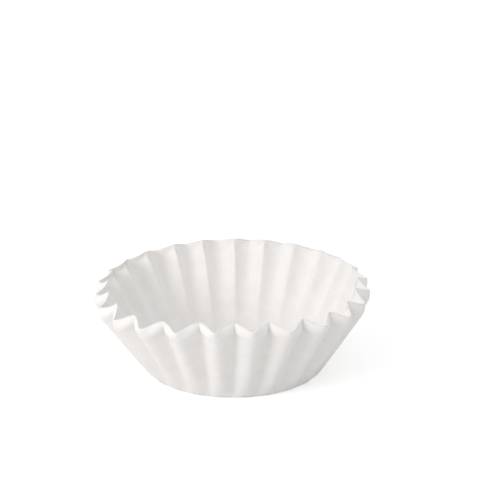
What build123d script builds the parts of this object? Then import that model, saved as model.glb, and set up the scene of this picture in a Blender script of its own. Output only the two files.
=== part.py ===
import math
import os

from build123d import *

# A fluted flat-bottom coffee filter. One round sheet of paper is pressed so that its middle
# stays flat as the base and its margin stands up as a flaring wall. The spare paper of the
# wall goes into flutes, which are deepest at the rim and fade towards the base.

# Sheet and main diameters, in millimetres
BLANK_DIA = 203.0        # the round sheet, before pressing
BASE_DIA = 98.0          # flat base, across the outer folds
RIM_DIA = 151.0          # open rim, across the outer folds
PAPER = 0.2              # thickness of the creped paper

# Flutes: each has one outer fold and one inner fold, with a flank of three flats between them
FLUTES = 24
RIM_DEPTH = 8.4          # outer fold to inner fold at the rim, square to the wall
BASE_DEPTH = 1.4         # the same at the base crease
OUTER_FOLD_W = 1.5       # flat width of an outer fold
INNER_FOLD_R = 2.2       # rounding of an inner fold
MIDDLE_W = 1.9           # width round the rim of the middle flat
SHALLOW_ANGLE = 80.0     # flat beside the outer fold, to the middle plane of the flute
MIDDLE_ANGLE = 54.0
STEEP_ANGLE = 36.0       # flat beside the inner fold

os.makedirs("parts", exist_ok=True)

# The outer folds: the sheet keeps its length from the base crease out to its cut edge
half_flute = math.pi / FLUTES
base_r = BASE_DIA / 2
rim_r = RIM_DIA / 2
wall = BLANK_DIA / 2 - base_r
rim_z = math.sqrt(wall**2 - (rim_r - base_r) ** 2)
lean = math.atan2(rim_r - base_r, rim_z)

# How far the three flats fall for each millimetre round the wall
shallow_fall = 1 / math.tan(math.radians(SHALLOW_ANGLE))
middle_fall = 1 / math.tan(math.radians(MIDDLE_ANGLE))
steep_fall = 1 / math.tan(math.radians(STEEP_ANGLE))


def flank_depths(reach, middle, steep):
    """Depths, below the outer folds, at which the flats would meet their mirror images.

    `reach`, `middle` and `steep` are the outer ends of the shallow, middle and steep flats,
    counted round the wall from the inner fold.
    """
    knee = (reach - middle) * shallow_fall
    lower_knee = knee + (middle - steep) * middle_fall
    return reach * shallow_fall, knee + middle * middle_fall, lower_knee + steep * steep_fall


# At the rim the steep flats make up the depth, with the inner fold rounded off
rim_reach = rim_r * math.sin(half_flute) - OUTER_FOLD_W / 2
rounding = INNER_FOLD_R * (1 / math.sin(math.radians(STEEP_ANGLE)) - 1)
rest = RIM_DEPTH + rounding - (rim_reach - MIDDLE_W) * shallow_fall - MIDDLE_W * middle_fall
rim_steep = rest / (steep_fall - shallow_fall)
rim_depths = flank_depths(rim_reach, rim_steep + MIDDLE_W, rim_steep)

# At the base the steep flats have run out, and the middle flats make up the depth
base_reach = base_r * math.sin(half_flute) - OUTER_FOLD_W / 2
base_middle = (BASE_DEPTH - base_reach * shallow_fall) / (middle_fall - shallow_fall)
base_depths = flank_depths(base_reach, base_middle, 0)


def below_fold(radius, height, depth):
    """A point of the front middle plane, `depth` below the outer folds, square to the wall."""
    out = radius * math.cos(half_flute) - depth * math.cos(lean)
    return Vector(0, -out, height + depth * math.sin(lean))


def groove(angle, base_depth, rim_depth, fold_r, skin):
    """The front groove between two mirrored flats, `skin` deeper than the paper's outside."""
    low = below_fold(base_r, 0, base_depth)
    high = below_fold(rim_r, rim_z, rim_depth)
    tip = -skin / math.sin(math.radians(angle))
    edge = tip + wall / math.tan(math.radians(angle))
    with BuildPart() as cut:
        with BuildSketch(Plane(origin=low, x_dir=(-1, 0, 0), z_dir=high - low)) as vee:
            Polygon((-wall, edge), (0, tip), (wall, edge), align=None)
            if fold_r:
                fillet(vee.vertices().sort_by(Axis.Y)[0], fold_r + skin)
        extrude(amount=2 * wall, both=True)
    return cut.part


def flute_solid(profile, skin):
    """One flute of the solid form, from outer fold to outer fold, `skin` inside the paper."""
    start = -math.pi / 2 - half_flute
    side = Plane(
        origin=(0, 0, 0),
        x_dir=(math.cos(start), math.sin(start), 0),
        z_dir=(math.sin(start), -math.cos(start), 0),
    )
    with BuildPart() as sector:
        with BuildSketch(side):
            Polygon(*profile, align=None)
        revolve(axis=Axis.Z, revolution_arc=360 / FLUTES)
        add(groove(SHALLOW_ANGLE, base_depths[0], rim_depths[0], 0, skin), mode=Mode.SUBTRACT)
        add(groove(MIDDLE_ANGLE, base_depths[1], rim_depths[1], 0, skin), mode=Mode.SUBTRACT)
        add(groove(STEEP_ANGLE, base_depths[2], rim_depths[2], INNER_FOLD_R, skin), mode=Mode.SUBTRACT)
    return sector.part


# The cut edge runs square to the wall, so it rises from the outer folds to the inner folds
inner_low = below_fold(base_r, 0, BASE_DEPTH)
inner_high = below_fold(rim_r, rim_z, RIM_DEPTH)
inner_lean = math.atan2(inner_low.Y - inner_high.Y, inner_high.Z - inner_low.Z)
edge_z = rim_z + (rim_r - base_r) * math.tan((lean + inner_lean) / 2)
outside = [(0, 0), (base_r, 0), (rim_r, rim_z), (base_r, edge_z), (0, edge_z)]

# The inside face lies one thickness of paper in, and is open at the top
inset = PAPER / math.cos(lean)
floor_r = base_r - inset + PAPER * math.tan(lean)
open_r = rim_r - inset + (edge_z - rim_z) * math.tan(lean)
inside = [(0, PAPER), (floor_r, PAPER), (open_r, edge_z), (0, edge_z)]

with BuildPart() as paper_flute:
    add(flute_solid(outside, 0))
    add(flute_solid(inside, PAPER), mode=Mode.SUBTRACT)

with BuildPart() as coffee_filter:
    with PolarLocations(0, FLUTES):
        add(paper_flute.part)

coffee_filter.part.label = "coffee_filter"
export_step(coffee_filter.part, "parts/coffee_filter.step")
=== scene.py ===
# %% [markdown]
# # A fluted paper coffee filter
#
# A basket filter starts as a round sheet of creped paper. A press holds the middle flat, as the
# base, and turns the margin up as a flaring wall. The margin is then too long for the ring that
# it has to fit, and the spare paper goes into flutes, deepest at the rim and fading to nothing at
# the base. This lesson goes the maker's way: cut the sheet, press it, give it its thickness, and
# only then think of paper, light and camera.

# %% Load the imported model
import math
import random

import bmesh
import bpy
from mathutils import Matrix, Vector, noise


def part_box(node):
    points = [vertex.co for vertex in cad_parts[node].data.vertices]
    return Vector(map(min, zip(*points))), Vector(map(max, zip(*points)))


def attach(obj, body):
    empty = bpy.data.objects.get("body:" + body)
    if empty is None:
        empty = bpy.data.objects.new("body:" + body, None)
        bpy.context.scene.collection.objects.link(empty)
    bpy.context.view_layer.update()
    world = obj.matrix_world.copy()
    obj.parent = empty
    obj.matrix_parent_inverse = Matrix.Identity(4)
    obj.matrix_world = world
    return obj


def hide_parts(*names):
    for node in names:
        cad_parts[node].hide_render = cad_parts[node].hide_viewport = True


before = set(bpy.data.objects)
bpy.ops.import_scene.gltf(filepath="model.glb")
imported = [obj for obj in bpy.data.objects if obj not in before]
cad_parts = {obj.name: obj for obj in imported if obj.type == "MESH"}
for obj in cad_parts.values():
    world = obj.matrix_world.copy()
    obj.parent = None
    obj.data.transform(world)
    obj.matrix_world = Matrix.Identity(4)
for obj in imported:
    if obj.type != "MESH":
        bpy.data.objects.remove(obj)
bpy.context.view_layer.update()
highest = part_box("coffee_filter")[1]

# %% [markdown]
# ## The sizes that drive the sheet
#
# Only a few sizes are given: the sheet, the crease where the wall turns up and the round of
# its bend, the paper's thickness and the count of flutes. The reach of the rim comes from the
# solid, so that the sheet stands where the solid stands. The solid's outer folds lie half a flute
# to either side of the x axis, so they reach a little further than its box. Everything is in
# metres, and turned into millimetres only to be printed.

# %% Sizes
MM = 1000
FLUTES = 24
SHEET_R = 0.1015
CREASE_R = 0.0486
BEND_R = 0.0011
PAPER = 0.0002

flute_angle = 2 * math.pi / FLUTES
rim_reach = highest[0] / math.cos(flute_angle / 2)
wall_length = SHEET_R - CREASE_R
print(f"Wall {wall_length * MM:.1f} mm along the paper, rim {2 * rim_reach * MM:.1f} mm across")

# %% [markdown]
# ## The shape of a flute
#
# A sine wave would be wrong for this paper. Seen from outside, its outer folds are broad and round,
# like pillows, and its inner folds are tight creases between them. A flank is therefore made from
# two soft corners, one for each fold, and each has a roundness of its own.

# %% The wave round the wall
OUTER_ROUND = 2.0
INNER_ROUND = 0.2
FLANK_STEPS = 6


def from_outer_fold(turn):
    """0 on an outer fold and 1 on an inner one. A turn grows by a full circle with each flute."""
    return abs((turn / math.pi + 1) % 2 - 1)


def soft_corner(away, round_share):
    """0 on a fold and 1 a whole flank away: a straight line that starts with a round corner."""
    whole_flank = math.hypot(1, round_share) - round_share
    return (math.hypot(away, round_share) - round_share) / whole_flank


def wave(turn, outer_round=OUTER_ROUND, inner_round=INNER_ROUND):
    """1 on an outer fold and -1 on an inner one, with a round corner at each."""
    from_outer = soft_corner(from_outer_fold(turn), outer_round)
    return 2 * soft_corner(1 - from_outer, inner_round) - 1


flank = [wave(math.pi * i / FLANK_STEPS) for i in range(FLANK_STEPS + 1)]
print("From an outer fold to an inner one:", [round(height, 2) for height in flank])

# %% [markdown]
# ## How deep is a flute?
#
# Paper bends but hardly stretches, and that settles the depth. A ring of the flat sheet keeps its
# length when it is pressed into a smaller ring, so the wave that it becomes has to be just deep
# enough to use that length up. The depth could be drawn by eye as a straight taper, but then the
# flutes would die out long before the base, where real ones are still plain to see.

# %% The swing that uses up the paper
WAVE_STEPS = 48
HALVINGS = 40
FLAT_RING = 0.1
PRESSED_RING = 0.07


def wave_length(pitch, swing):
    """Length of paper in one flute that is `pitch` wide and swings this far each way."""
    heights = [swing * wave(2 * math.pi * i / WAVE_STEPS) for i in range(WAVE_STEPS + 1)]
    return sum(math.hypot(pitch / WAVE_STEPS, b - a) for a, b in zip(heights, heights[1:]))


def flute_swing(sheet_r, ring_r):
    """Half the depth of a flute that fits a ring of the sheet into a ring of the wall."""
    paper = sheet_r * flute_angle
    pitch = ring_r * flute_angle
    shallow, deep = 0.0, pitch
    for _ in range(HALVINGS):
        middle = (shallow + deep) / 2
        if wave_length(pitch, middle) < paper:
            shallow = middle
        else:
            deep = middle
    return (shallow + deep) / 2


example = flute_swing(FLAT_RING, PRESSED_RING)
print(f"A ring of {FLAT_RING * MM:.0f} mm in the place of one of {PRESSED_RING * MM:.0f} mm",
      f"swings {example * MM:.1f} mm each way")

# %% [markdown]
# ## How far does the wall lean?
#
# The outer folds have to end at the solid's rim. A wall that leans further carries them further
# out, and its flutes get shallower at the same time, so there is no tidy formula for the angle.
# Halving the range again and again finds it in a few lines.

# %% The lean of the wall
UPRIGHT = math.radians(15)
FLAT = math.radians(45)


def outer_reach(lean):
    """How far the outer folds reach at the rim when the wall leans out by this angle."""
    ring_r = CREASE_R + wall_length * math.sin(lean)
    return ring_r + flute_swing(SHEET_R, ring_r) * math.cos(lean)


steeper, flatter = UPRIGHT, FLAT
for _ in range(HALVINGS):
    wall_lean = (steeper + flatter) / 2
    if outer_reach(wall_lean) < rim_reach:
        steeper = wall_lean
    else:
        flatter = wall_lean
print(f"The wall leans out by {math.degrees(wall_lean):.1f} degrees")

# %% [markdown]
# ## Cut the sheet
#
# The sheet is a disc of rings, close together at the crease, where the paper bends sharply. A
# grid would be quicker to make, but its corners would cut across the folds. So a small round
# patch in the middle is grown outwards, ring by ring, and every fold gets its own row of edges.

# %% The rings of the sheet
STEPS_PER_FLUTE = 28
BASE_RINGS = 9
BEND_RINGS = 7
WALL_RINGS = 44
WALL_SPACING = 1.2
CENTRE_R = 0.006

bend_angle = math.pi / 2 - wall_lean
bend_start = CREASE_R - BEND_R * math.tan(bend_angle / 2)
bend_end = bend_start + BEND_R * bend_angle


def rings(start, end, count, spacing=1.0):
    """Radii from just past start to end. A spacing over 1 crowds them towards start."""
    return [start + (end - start) * (i / count) ** spacing for i in range(1, count + 1)]


ring_radii = rings(CENTRE_R, bend_start, BASE_RINGS)
ring_radii += rings(bend_start, bend_end, BEND_RINGS)
ring_radii += rings(bend_end, SHEET_R, WALL_RINGS, WALL_SPACING)
print(len(ring_radii), "rings, the last of them the cut edge")

# %% Grow the sheet from its middle
sheet = bmesh.new()
segments = FLUTES * STEPS_PER_FLUTE
bmesh.ops.create_circle(sheet, cap_ends=True, cap_tris=True, radius=CENTRE_R, segments=segments)
edge_r = CENTRE_R
for ring_r in ring_radii:
    edge = [line for line in sheet.edges if line.is_boundary]
    grown = bmesh.ops.extrude_edge_only(sheet, edges=edge)["geom"]
    new_points = [item for item in grown if isinstance(item, bmesh.types.BMVert)]
    bmesh.ops.scale(sheet, vec=(ring_r / edge_r, ring_r / edge_r, 1), verts=new_points)
    edge_r = ring_r
print(f"A flat sheet of {len(sheet.faces)} faces, {2 * edge_r * MM:.0f} mm across")

# %% [markdown]
# ## A map for the grain
#
# Fibres and crepe belong to the flat paper, and they turn every corner with it. The place of each
# point on the flat sheet is therefore stored as a UV map now, before anything is bent.

# %% The flat sheet as a UV map
SHEET_MAP = "flat_sheet"
MAP_MIDDLE = Vector((0.5, 0.5))

grain_map = sheet.loops.layers.uv.new(SHEET_MAP)
for face in sheet.faces:
    for corner in face.loops:
        corner[grain_map].uv = corner.vert.co.xy / (2 * SHEET_R) + MAP_MIDDLE
print(f"UV map {SHEET_MAP}: the whole width of the sheet is 1")

# %% [markdown]
# ## What handling does
#
# A press makes every flute alike, but a filter that has been pulled from its pack is no longer a
# perfect round. The wall of this one has opened, most of all on the left, and its mouth has gone
# slightly cornered. At the left and the right the flutes have closed up and grown deeper, and the
# top of the wall turns in there, the outer folds more than the inner ones. Each of these is one
# named value times a slow wave round the filter, which is easier to judge than a pull on points.

# %% The mouth, out of round
FRONT = -math.pi / 2
TO_RIGHT = math.pi / 2
TO_LEFT = -math.pi / 2
WALL_OPEN = math.radians(2.5)
WALL_LEFT = math.radians(1.7)
WALL_WIDE = math.radians(1.8)
WALL_CORNERED = math.radians(1.8)
CORNERS = 4
SIDE_FLUTES_DEEPER = 0.15
CURL_LENGTH = 0.0074
SIDE_CURL = math.radians(42)
LEFT_CURL = math.radians(9)
FOLD_CURL = math.radians(15)


def opened_lean(from_front):
    """How far the wall leans out, at an angle round the filter counted from the front."""
    wide = WALL_WIDE * math.cos(2 * from_front)
    cornered = WALL_CORNERED * math.cos(CORNERS * from_front)
    return wall_lean + WALL_OPEN - WALL_LEFT * math.sin(from_front) - (wide + cornered)


def top_curl(from_front, fold):
    """How far the top of the wall turns in. `fold` is 1 on an outer fold and -1 on an inner one."""
    at_sides = math.sin(from_front) ** 2
    return at_sides * (SIDE_CURL - LEFT_CURL * math.sin(from_front) + FOLD_CURL * fold)


for side, turn in (("front", 0), ("right", TO_RIGHT), ("left", TO_LEFT)):
    lean = math.degrees(opened_lean(turn))
    curl = math.degrees(top_curl(turn, 1))
    print(f"{side}: the wall leans out by {lean:.0f} degrees,",
          f"and an outer fold turns in by {curl:.0f}")

# %% [markdown]
# ## No two flutes alike
#
# On top of the slow waves, each flute differs a little from its neighbours in lean, depth, place,
# skew, roundness and curl. Random numbers with a fixed seed give the same filter on every run. The
# seed was picked out of 12,000, as the one whose folds fall nearest to those in the photograph.

# %% Small differences between the flutes
LEAN_SPREAD = math.radians(0.4)
DEPTH_SPREAD = 0.05
PLACE_SPREAD = 0.3
SKEW_SPREAD = 0.2
ROUND_SPREAD = 0.4
CURL_SPREAD = 0.2
SEED = 5292

hand = random.Random(SEED)


def one_each(spread):
    """A small random change for every flute."""
    return [hand.uniform(-spread, spread) for _ in range(FLUTES)]


lean_changes = one_each(LEAN_SPREAD)
depth_changes = one_each(DEPTH_SPREAD)
place_changes = one_each(PLACE_SPREAD)
skew_changes = one_each(SKEW_SPREAD)
round_changes = one_each(ROUND_SPREAD)
curl_changes = one_each(CURL_SPREAD)


def eased(share):
    """From 0 to 1, with a soft start and a soft end."""
    return share * share * (3 - 2 * share)


def blended(changes, from_front):
    """The change at an angle, blended smoothly from one flute to the next."""
    place = (from_front / flute_angle) % FLUTES
    first = int(place) % FLUTES
    step = changes[(first + 1) % FLUTES] - changes[first]
    return changes[first] + step * eased(place - int(place))


print(f"The deepest flute is {max(depth_changes):+.1%}, the shallowest {min(depth_changes):+.1%}")

# %% [markdown]
# ## The section of the pressed paper
#
# Along a line from the middle outwards the paper is flat, turns up round the crease and runs
# straight up the wall. It is worked out by its length, so that the paper stretches nowhere along
# this line.

# %% Along a line from the middle outwards
def section(sheet_r, lean):
    """Radius, height and slope of the paper at this distance from the middle of the flat sheet."""
    full_bend = math.pi / 2 - lean
    start = CREASE_R - BEND_R * math.tan(full_bend / 2)
    along = sheet_r - start
    if along <= 0:
        return sheet_r, 0.0, 0.0
    bend = min(along / BEND_R, full_bend)
    radius = start + BEND_R * math.sin(bend)
    height = BEND_R * (1 - math.cos(bend))
    straight = max(along - BEND_R * full_bend, 0.0)
    return radius + straight * math.cos(bend), height + straight * math.sin(bend), bend


rim_radius, rim_height = section(SHEET_R, wall_lean)[:2]
print(f"Middle of the rim: radius {rim_radius * MM:.1f} mm, height {rim_height * MM:.1f} mm")

# %% [markdown]
# ## Depth, ring by ring
#
# The swing of each ring follows from its length, as above. It is the same all round a ring, so it
# is worked out once for each and kept.

# %% The swing of every ring
RING_DIGITS = 6


def up_the_wall(sheet_r):
    """0 at the crease and below it, 1 at the rim."""
    return min(max((sheet_r - CREASE_R) / wall_length, 0.0), 1.0)


ring_swings = {}


def swing_of_ring(sheet_r):
    """Half the depth of the flutes on this ring of the sheet."""
    key = round(sheet_r, RING_DIGITS)
    if key not in ring_swings:
        ring_r = section(sheet_r, wall_lean + WALL_OPEN)[0]
        ring_swings[key] = flute_swing(sheet_r, ring_r)
    return ring_swings[key]


print(f"Flutes at the rim are {2 * swing_of_ring(SHEET_R) * MM:.1f} mm deep")

# %% [markdown]
# ## The fluted wall
#
# The flutes swing square to the wall, which is what lifts the inner folds at the rim and drops the
# outer ones. Near the crease they swing level instead, or the outer folds would dip below the base.
# The inner folds get rounder on their way down, as the flutes run out.

# %% Radius and height on the fluted wall
EASE_LENGTH = 0.012
BASE_ROUNDER = 2.0


def off_the_base(sheet_r):
    """0 at the crease and 1 where the flutes swing square to the wall."""
    return min(max((sheet_r - CREASE_R) / EASE_LENGTH, 0.0), 1.0)


def flute_turn(sheet_r, from_front):
    """Where a point lies in its flute: full circles are outer folds, half circles inner ones."""
    up = up_the_wall(sheet_r)
    turn = FLUTES * from_front + math.pi + up * blended(place_changes, from_front)
    return turn + up * blended(skew_changes, from_front) * math.sin(turn)


def fluted(sheet_r, from_front):
    """Radius and height of a point of the sheet, and the wave there from -1 to 1."""
    rounder = 1 + blended(round_changes, from_front) + BASE_ROUNDER * (1 - up_the_wall(sheet_r))
    fold = wave(flute_turn(sheet_r, from_front), OUTER_ROUND, INNER_ROUND * rounder)
    depth = 1 - SIDE_FLUTES_DEEPER * up_the_wall(sheet_r) * math.cos(2 * from_front)
    swing = swing_of_ring(sheet_r) * depth * (1 + blended(depth_changes, from_front)) * fold
    lean = opened_lean(from_front) + blended(lean_changes, from_front)
    radius, height, slope = section(sheet_r, lean)
    dip = off_the_base(sheet_r) * (math.pi / 2 - slope)
    return Vector((radius + swing * math.cos(dip), height - swing * math.sin(dip))), fold


print("An inner fold faces the front, where the wave is", fluted(SHEET_R, 0.0)[1])

# %% [markdown]
# ## The top turns in
#
# Each line up the wall goes on past the start of the curl by its own length, along an arc. The
# chord of a short arc is shorter than the arc by about a 24th of its turn squared, and it points
# half the turn further in. To bend the middle of the wall and let the flutes follow would be
# shorter to write, but it would stretch the outer folds into horns.
#
# The cut edge is free, so it has sprung back from the shape of the wall: at the rim the inner
# folds have opened to round arches, and the outer folds are the tighter ones. Halfway up the curl
# the paper does the opposite: it bulges a little, and each inner fold closes to a narrow slot,
# which shows as a small dark pocket below its arch.

# %% The wall with its curl
RIM_OUTER_ROUND = 0.2
RIM_INNER_ROUND = 0.9
SLOT_SHARE = 0.5
SLOT_SHARP = 6
SMALL_STEP = 0.0005
ARC_TO_CHORD = 24

curl_start = SHEET_R - CURL_LENGTH


def slot_wave(turn):
    """A wave like the other, but almost flat from one inner fold to the next."""
    return 1 - 2 * from_outer_fold(turn) ** SLOT_SHARP


def curled(sheet_r, from_front):
    """Radius and height of a point of the sheet, with the top of the wall turned in."""
    past_start = sheet_r - curl_start
    if past_start <= 0:
        return fluted(sheet_r, from_front)[0]
    share = past_start / CURL_LENGTH
    foot, fold = fluted(curl_start, from_front)
    way_up = (foot - fluted(curl_start - SMALL_STEP, from_front)[0]) / SMALL_STEP
    turn = top_curl(from_front, fold) * (1 + blended(curl_changes, from_front)) * share
    chord = past_start * (1 - turn ** 2 / ARC_TO_CHORD)
    place = flute_turn(curl_start, from_front)
    slot = SLOT_SHARE * (slot_wave(place) - fold) * math.sin(math.pi * share)
    arch = (wave(place, RIM_OUTER_ROUND, RIM_INNER_ROUND) - fold) * share ** 2
    way_out = Vector((way_up.y, -way_up.x)) * swing_of_ring(curl_start)
    return foot + Matrix.Rotation(turn / 2, 2) @ (way_up * chord + way_out * (slot + arch))


print("Radius and height of the rim on the left, in metres:", curled(SHEET_R, TO_LEFT)[:])

# %% [markdown]
# ## Press it
#
# Now each point of the sheet is carried to its place. Two more things show that it is paper: low,
# soft dents in the wall, and a base that isn't quite flat but lifts here and there by a hair. A
# cloth simulation could give such dents too, but it would soften the folds first.

# %% Carry each point of the sheet to its place
DENT = 0.00022
DENT_SIZE = 0.011
CRINKLE = 0.00007
CRINKLE_SIZE = 0.0035
LIFT = 0.00035
LIFT_SIZE = 0.02


def pressed(point):
    """Where a point of the flat sheet goes."""
    sheet_r = point.xy.length
    if sheet_r <= ring_radii[BASE_RINGS - 1]:
        inside = max(1 - (sheet_r / CREASE_R) ** 2, 0.0)
        lift = LIFT * inside * max(noise.noise(point / LIFT_SIZE), 0.0)
        return Vector((point.x, point.y, PAPER / 2 + lift))
    angle = math.atan2(point.y, point.x)
    radius, height = curled(sheet_r, angle - FRONT)
    dents = DENT * noise.noise(point / DENT_SIZE) + CRINKLE * noise.noise(point / CRINKLE_SIZE)
    radius += dents * off_the_base(sheet_r)
    return Vector((radius * math.cos(angle), radius * math.sin(angle), height + PAPER / 2))


for vert in sheet.verts:
    vert.co = pressed(vert.co.copy())
bmesh.ops.recalc_face_normals(sheet, faces=sheet.faces)
paper_area = sum(face.calc_area() for face in sheet.faces)

# %% [markdown]
# ## Thickness
#
# Solidify gives the sheet its 0.2 mm, half to each side, and closes the cut edge at the rim. The
# finished object stays at the origin, unturned and unscaled, because its place is in its mesh.

# %% The finished sheet
mesh = bpy.data.meshes.new("filter_paper")
sheet.to_mesh(mesh)
sheet.free()
mesh.shade_smooth()
filter_paper = bpy.data.objects.new("filter_paper", mesh)
bpy.context.collection.objects.link(filter_paper)
thick = filter_paper.modifiers.new("paper", "SOLIDIFY")
thick.thickness = PAPER
thick.offset = 0.0
thick.use_even_offset = True

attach(filter_paper, "root")
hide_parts("coffee_filter")
print("The sheet stands for the solid coffee_filter")

# %% [markdown]
# ## Paper
#
# Filter paper is uncoated and soft. It has no gloss to speak of, its fibres stand up as a faint
# sheen, and it is thin enough for light to spread inside it, which softens the shade in the folds.
# These are the same all over the sheet, so they are set straight on the shader.

# %% A soft, dull, slightly translucent shader
GLOSS = 0.2
SHEEN = 0.1
SHEEN_SPREAD = 0.6
LIGHT_INSIDE = 0.3
LIGHT_REACH = 0.0003
REACH_OF_COLOURS = (1.0, 0.95, 0.9)

paper = bpy.data.materials.new("filter_paper")
paper.use_nodes = True
nodes = paper.node_tree.nodes
links = paper.node_tree.links
shader = nodes["Principled BSDF"]
shader.inputs["Specular IOR Level"].default_value = GLOSS
shader.inputs["Sheen Weight"].default_value = SHEEN
shader.inputs["Sheen Roughness"].default_value = SHEEN_SPREAD
shader.inputs["Subsurface Weight"].default_value = LIGHT_INSIDE
shader.inputs["Subsurface Radius"].default_value = REACH_OF_COLOURS
shader.inputs["Subsurface Scale"].default_value = LIGHT_REACH
filter_paper.data.materials.append(paper)
print("Shader set for", filter_paper.name)

# %% [markdown]
# ## Clouds, fibres and crepe
#
# Held to the light, the sheet is cloudy where its fibres lie thicker. Close up, the fibres show as
# a fine felt, and the crepe as short cross ridges, which let the paper stretch and drain. All
# three are noises on the flat sheet's map, each with the size of its blots in metres. A picture of
# real paper would do as well, but it would show its seams and could not be scaled.

# %% Three noises on the flat sheet
CLOUD_SIZE = 0.007
FIBRE_SIZE = 0.0011
FIBRE_WIDTH = 0.00055
CREPE_SIZE = 0.0012
CREPE_LENGTH = 0.006
CLOUD_DETAIL = 4.0
FIBRE_DETAIL = 3.0
CREPE_DETAIL = 2.0

sheet_map = nodes.new("ShaderNodeUVMap")
sheet_map.uv_map = SHEET_MAP


def sheet_noise(across, along, detail):
    """A noise on the flat sheet, with blots of about this size in metres."""
    lay = nodes.new("ShaderNodeMapping")
    lay.inputs["Scale"].default_value = (2 * SHEET_R / across, 2 * SHEET_R / along, 1)
    grain = nodes.new("ShaderNodeTexNoise")
    grain.inputs["Scale"].default_value = 1.0
    grain.inputs["Detail"].default_value = detail
    links.new(sheet_map.outputs["UV"], lay.inputs["Vector"])
    links.new(lay.outputs["Vector"], grain.inputs["Vector"])
    return grain.outputs["Fac"]


clouds = sheet_noise(CLOUD_SIZE, CLOUD_SIZE, CLOUD_DETAIL)
fibres = sheet_noise(FIBRE_SIZE, FIBRE_WIDTH, FIBRE_DETAIL)
crepe = sheet_noise(CREPE_SIZE, CREPE_LENGTH, CREPE_DETAIL)
print(f"Clouds of {CLOUD_SIZE * MM:.1f} mm, fibres of {FIBRE_SIZE * MM:.1f} mm,",
      f"crepe ridges of {CREPE_LENGTH * MM:.1f} mm")

# %% Clouds make the colour, fibres the roughness
PAPER_LIGHT = (0.91, 0.9, 0.885, 1)
PAPER_CLOUD = (0.875, 0.862, 0.845, 1)
CLOUD_STOPS = ((0.3, PAPER_CLOUD), (0.7, PAPER_LIGHT))
LEAST_DULL = 0.86
MOST_DULL = 1.0

cloud_colour = nodes.new("ShaderNodeValToRGB")
for stop, (place, colour) in zip(cloud_colour.color_ramp.elements, CLOUD_STOPS):
    stop.position = place
    stop.color = colour
links.new(clouds, cloud_colour.inputs["Fac"])
links.new(cloud_colour.outputs["Color"], shader.inputs["Base Color"])

dullness = nodes.new("ShaderNodeMapRange")
dullness.inputs["To Min"].default_value = LEAST_DULL
dullness.inputs["To Max"].default_value = MOST_DULL
links.new(fibres, dullness.inputs["Value"])
links.new(dullness.outputs["Result"], shader.inputs["Roughness"])
print("Paper from", PAPER_CLOUD[:3], "to", PAPER_LIGHT[:3])

# %% Fibres and crepe make the bump
FIBRE_STRENGTH = 0.35
FIBRE_HEIGHT = 0.00006
CREPE_STRENGTH = 0.5
CREPE_HEIGHT = 0.00012


def bump(height, strength, distance):
    """A bump node that reads a noise as heights up to this distance in metres."""
    node = nodes.new("ShaderNodeBump")
    node.inputs["Strength"].default_value = strength
    node.inputs["Distance"].default_value = distance
    links.new(height, node.inputs["Height"])
    return node


fibre_bump = bump(fibres, FIBRE_STRENGTH, FIBRE_HEIGHT)
crepe_bump = bump(crepe, CREPE_STRENGTH, CREPE_HEIGHT)
links.new(fibre_bump.outputs["Normal"], crepe_bump.inputs["Normal"])
links.new(crepe_bump.outputs["Normal"], shader.inputs["Normal"])
print("The paper's material has", len(nodes), "nodes")

# %% [markdown]
# ## Floor
#
# The filter stands on a plain white floor that runs out of the picture on all sides. To the camera
# part of the floor's white is its own glow and part is lit, so that it is white and still takes the
# filter's shadow. For the light that bounces off it, it is a plain white surface, because a glowing
# floor would light the paper from below.

# %% The floor
FLOOR_HALF = 2.5
FLOOR_GAP = 0.00003

floor_shape = bmesh.new()
bmesh.ops.create_grid(floor_shape, x_segments=1, y_segments=1, size=FLOOR_HALF)
bmesh.ops.translate(floor_shape, vec=(0, 0, -FLOOR_GAP), verts=floor_shape.verts)
floor_mesh = bpy.data.meshes.new("floor")
floor_shape.to_mesh(floor_mesh)
floor_shape.free()
floor = bpy.data.objects.new("floor", floor_mesh)
bpy.context.collection.objects.link(floor)
print("Floor", 2 * FLOOR_HALF, "m wide")

# %% What the eye sees, as against what only carries light
def seen_by_eye(tree):
    """A node output that is 1 for the camera, also by way of gloss or glass, and else 0."""
    ray = tree.nodes.new("ShaderNodeLightPath")
    seen = ray.outputs["Is Camera Ray"]
    for kind in ("Is Glossy Ray", "Is Transmission Ray"):
        either = tree.nodes.new("ShaderNodeMath")
        either.operation = "MAXIMUM"
        tree.links.new(seen, either.inputs[0])
        tree.links.new(ray.outputs[kind], either.inputs[1])
        seen = either.outputs["Value"]
    return seen


print("The floor and the room both ask which rays the eye sees")

# %% White to the eye, plain to the light
FLOOR_LIT = (0.8, 0.8, 0.8, 1)
FLOOR_SHOWN = (0.75, 0.75, 0.75, 1)
FLOOR_GLOW = 0.45

floor_white = bpy.data.materials.new("floor_white")
floor_white.use_nodes = True
floor_nodes = floor_white.node_tree.nodes
floor_links = floor_white.node_tree.links
floor_nodes.clear()
floor_out = floor_nodes.new("ShaderNodeOutputMaterial")
lit_white = floor_nodes.new("ShaderNodeBsdfDiffuse")
lit_white.inputs["Color"].default_value = FLOOR_LIT
shown_white = floor_nodes.new("ShaderNodeBsdfDiffuse")
shown_white.inputs["Color"].default_value = FLOOR_SHOWN
glow = floor_nodes.new("ShaderNodeEmission")
glow.inputs["Strength"].default_value = FLOOR_GLOW
shown = floor_nodes.new("ShaderNodeAddShader")
floor_links.new(shown_white.outputs["BSDF"], shown.inputs[0])
floor_links.new(glow.outputs["Emission"], shown.inputs[1])

choose = floor_nodes.new("ShaderNodeMixShader")
floor_links.new(seen_by_eye(floor_white.node_tree), choose.inputs["Fac"])
floor_links.new(lit_white.outputs["BSDF"], choose.inputs[1])
floor_links.new(shown.outputs["Shader"], choose.inputs[2])
floor_links.new(choose.outputs["Shader"], floor_out.inputs["Surface"])
floor.data.materials.append(floor_white)
print("Floor material with", len(floor_nodes), "nodes")

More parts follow.
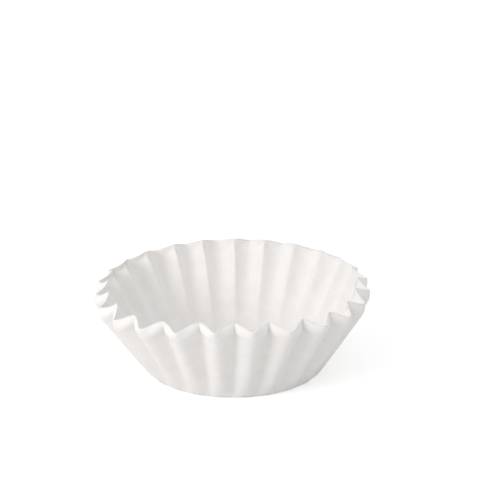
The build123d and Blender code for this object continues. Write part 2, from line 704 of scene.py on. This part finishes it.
# %% [markdown]
# ## Light
#
# White paper on a white floor needs light that comes from one side, or the flutes vanish. A large
# soft lamp stands at the front left, at a low angle: it lights the left flank of every flute and
# leaves the right one in shade. A bright room fills the shade. Together they bring the brightest
# folds to the edge of pure white, and more light would burn them out. As with the floor, the room
# is pure white only to the eye, for views so low that they look past the floor's edge.

# %% The room
WHITE = (1, 1, 1, 1)
ROOM_LIGHT = 0.78
ROOM_SHOWN = 1.0

room = bpy.data.worlds.new("room")
room.use_nodes = True
room_nodes = room.node_tree.nodes
room_back = room_nodes["Background"]
room_back.inputs["Color"].default_value = WHITE
room_light = room_nodes.new("ShaderNodeMapRange")
room_light.inputs["To Min"].default_value = ROOM_LIGHT
room_light.inputs["To Max"].default_value = ROOM_SHOWN
room.node_tree.links.new(seen_by_eye(room.node_tree), room_light.inputs["Value"])
room.node_tree.links.new(room_light.outputs["Result"], room_back.inputs["Strength"])
bpy.context.scene.world = room
print("The room lights the paper at", ROOM_LIGHT, "and shows at", ROOM_SHOWN)

# %% The lamp
KEY_POWER = 4.3
KEY_COLOUR = (1.0, 0.93, 0.92)
KEY_SIZE = 0.5
KEY_PLACE = Vector((-0.79, -0.65, 0.5))
AIM = Vector((0, 0, 0.03))

key = bpy.data.lights.new("key", "AREA")
key.energy = KEY_POWER
key.color = KEY_COLOUR
key.size = KEY_SIZE
key_lamp = bpy.data.objects.new("key", key)
key_lamp.location = KEY_PLACE
key_lamp.rotation_euler = (AIM - KEY_PLACE).to_track_quat("-Z", "Y").to_euler()
bpy.context.collection.objects.link(key_lamp)
print("Key lamp", KEY_POWER, "W,", round((KEY_PLACE - AIM).length, 2), "m from the filter")

# %% [markdown]
# ## Camera
#
# A long lens from a good arm's length, looking down a little, as for a catalogue picture. The
# place and the lens could be tried out by eye. Here they were worked out, as the ones with which
# the folds, the outline and the base all fall where they are in the photograph.

# %% Camera
CAMERA_PLACE = Vector((0.0034, -0.7994, 0.3391))
CAMERA_DOWN = 0.3231
CAMERA_ROLL = -0.0037
CAMERA_LENS = 116.6
SENSOR = 36.0

camera = bpy.data.cameras.new("camera")
camera.lens = CAMERA_LENS
camera.sensor_width = SENSOR
camera_object = bpy.data.objects.new("camera", camera)
camera_object.location = CAMERA_PLACE
look_down = Matrix.Rotation(math.pi / 2 - CAMERA_DOWN, 3, "X")
roll = Matrix.Rotation(CAMERA_ROLL, 3, "Z")
camera_object.rotation_euler = (look_down @ roll).to_euler()
bpy.context.collection.objects.link(camera_object)
bpy.context.scene.camera = camera_object
bpy.context.scene.view_settings.view_transform = "Standard"
print(f"Camera {CAMERA_PLACE.length:.2f} m from the filter,",
      f"{math.degrees(CAMERA_DOWN):.0f} degrees down")
